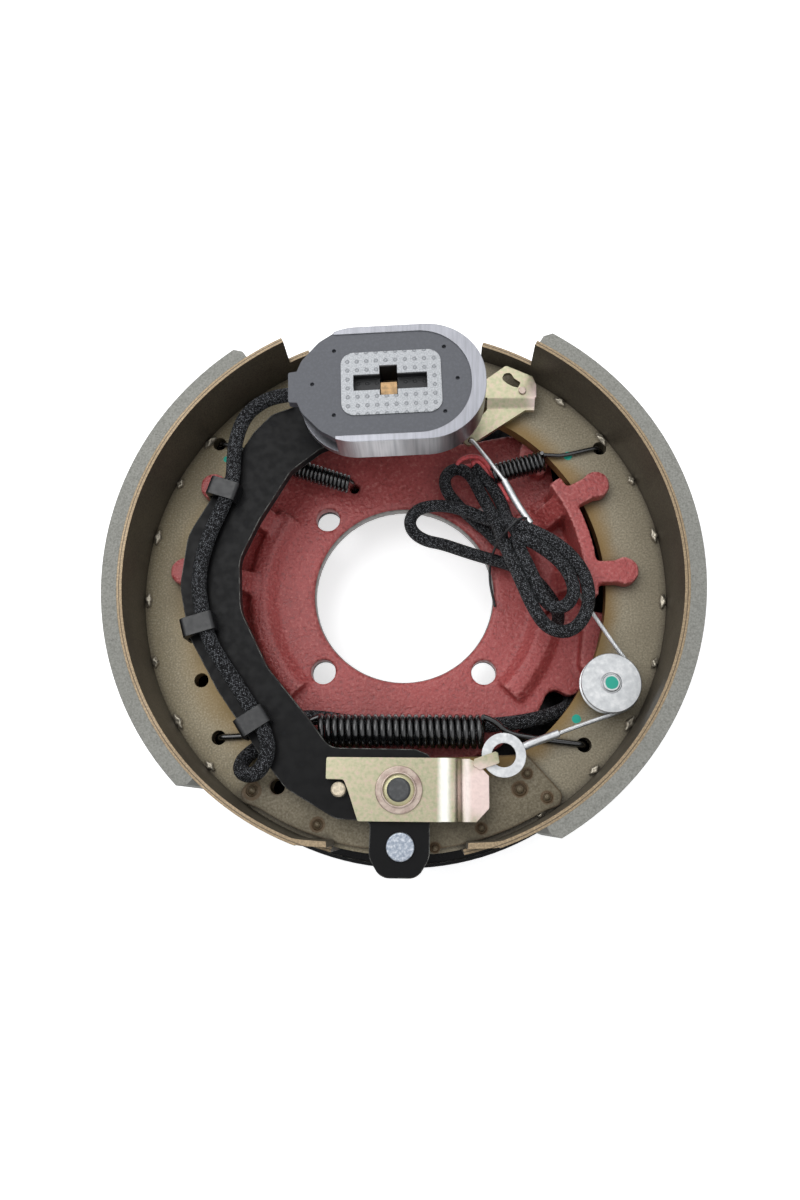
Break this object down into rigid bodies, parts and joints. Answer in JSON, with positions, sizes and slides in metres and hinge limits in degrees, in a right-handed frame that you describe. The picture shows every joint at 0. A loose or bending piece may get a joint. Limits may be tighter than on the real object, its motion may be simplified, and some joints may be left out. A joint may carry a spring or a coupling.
{
  "type": "electric trailer brake assembly",
  "caption": "Electric drum brake backing assembly for a trailer axle: cast spider, dust shield, two shoes, magnet on a curved arm, springs and self-adjusting cable.",
  "frame": {"origin": "centre of the axle bolt circle on the rear mounting face", "axes": "+Z along the wheel axis towards the open side, +Y up on the vehicle (anchor bolt at -Y, magnet at +Y), +X right"},
  "size_m": [0.31, 0.3073, 0.104],
  "materials": {
    "casting_paint": "semi-matte red enamel on a cast surface",
    "shield_paint": "black painted sheet",
    "bright_steel": "bright zinc",
    "magnet_steel": "machined steel",
    "dark_steel": "satin black",
    "spring_black": "gloss black spring steel",
    "yellow_zinc": "yellow zinc plate",
    "pink_zinc": "pinkish zinc plate",
    "copper_pin": "copper flashed steel",
    "shoe_steel": "olive-brown coated steel",
    "lining": "grey friction lining",
    "potting": "grey potting",
    "winding": "wound magnet wire",
    "braid": "black braided sleeve",
    "red_wire": "red insulation",
    "black_plastic": "black plastic",
    "rubber": "black rubber"
  },
  "bodies": {
    "backing": {"casting_spider": "casting_paint", "finger_bracket_right": "casting_paint", "finger_bracket_left": "casting_paint", "web_finger_1": "casting_paint", "web_finger_2": "casting_paint", "web_finger_3": "casting_paint", "web_finger_4": "casting_paint", "dust_shield": "shield_paint", "shield_ring": "shield_paint", "shield_screws": "bright_steel", "slot_plug": "rubber", "anchor_bolt": "dark_steel", "anchor_sleeve": "bright_steel", "anchor_washer": "pink_zinc", "wire_grommet": "rubber", "casting_lead": "braid", "pigtail": "braid", "pigtail_hank": "braid", "red_wires": "red_wire", "cord_tie": "black_plastic", "return_spring": "spring_black", "retractor_spring_left": "spring_black", "retractor_spring_right": "spring_black", "adjuster_cable": "bright_steel"},
    "secondary_shoe": {"secondary_web": "shoe_steel", "secondary_doubler": "shoe_steel", "secondary_table": "shoe_steel", "secondary_lining": "lining", "pulley_pin": "bright_steel", "lever_stud": "bright_steel", "adjuster_sleeve": "bright_steel", "adjuster_socket": "bright_steel"},
    "primary_shoe": {"primary_web": "shoe_steel", "primary_doubler": "shoe_steel", "primary_table": "shoe_steel", "primary_lining": "lining"},
    "magnet_arm": {"arm_plate": "dark_steel", "arm_bushing": "bright_steel", "arm_block": "dark_steel", "block_rivet": "bright_steel", "stop_pin": "copper_pin", "magnet_post": "bright_steel", "lead_clip_1": "black_plastic", "lead_clip_2": "black_plastic", "lead_clip_3": "black_plastic", "arm_lead": "braid", "magnet_spring": "spring_black"},
    "magnet": {"magnet_cup": "magnet_steel", "magnet_core": "magnet_steel", "magnet_coil": "winding", "magnet_face": "potting"},
    "link": {"link_plate": "yellow_zinc", "cable_eyelet": "bright_steel"},
    "pulley": {"guide_pulley": "bright_steel"},
    "lever": {"adjuster_lever": "yellow_zinc", "cable_ferrule": "bright_steel"},
    "star": {"star_wheel": "bright_steel"}
  },
  "joints": [
    {"name": "arm_swing", "type": "hinge", "parent": "backing", "child": "magnet_arm", "pos_m": [0, -0.1115, 0.044], "axis": [0, 0, -1], "range_deg": [0, 4], "deforming": ["arm_lead", "casting_lead"]},
    {"name": "magnet_float", "type": "slide", "parent": "magnet_arm", "child": "magnet", "axis": [0, 0, 1], "range_m": [-0.004, 0.001], "deforming": ["magnet_spring"]},
    {"name": "link_turn", "type": "hinge", "parent": "backing", "child": "link", "pos_m": [0, -0.1115, 0.044], "axis": [0, 0, -1], "range_deg": [0, 4], "deforming": ["adjuster_cable"]},
    {"name": "secondary_pivot", "type": "hinge", "parent": "backing", "child": "secondary_shoe", "pos_m": [0, -0.1115, 0.025], "axis": [0, 0, -1], "range_deg": [0, 0.2], "deforming": ["return_spring", "retractor_spring_right"]},
    {"name": "primary_pivot", "type": "hinge", "parent": "secondary_shoe", "child": "primary_shoe", "pos_m": [-0.036, 0.112, 0.025], "axis": [0, 0, -1], "range_deg": [0, 0.42], "deforming": ["retractor_spring_left"]},
    {"name": "pulley_spin", "type": "hinge", "parent": "secondary_shoe", "child": "pulley", "pos_m": [0.1095, -0.056, 0.04], "axis": [0, 0, 1], "continuous": true},
    {"name": "lever_turn", "type": "hinge", "parent": "secondary_shoe", "child": "lever", "pos_m": [0.0675, 0.1115, 0.039], "axis": [0, 0, 1], "range_deg": [-2, 8]},
    {"name": "star_spin", "type": "hinge", "parent": "secondary_shoe", "child": "star", "pos_m": [0.017, 0.112, 0.025], "axis": [1, 0, 0], "continuous": true}
  ],
  "couplings": [
    {"joint": "link_turn", "follows": "arm_swing", "ratio": 1},
    {"joint": "secondary_pivot", "follows": "arm_swing", "ratio": 0.05},
    {"joint": "primary_pivot", "follows": "arm_swing", "ratio": 0.105}
  ]
}
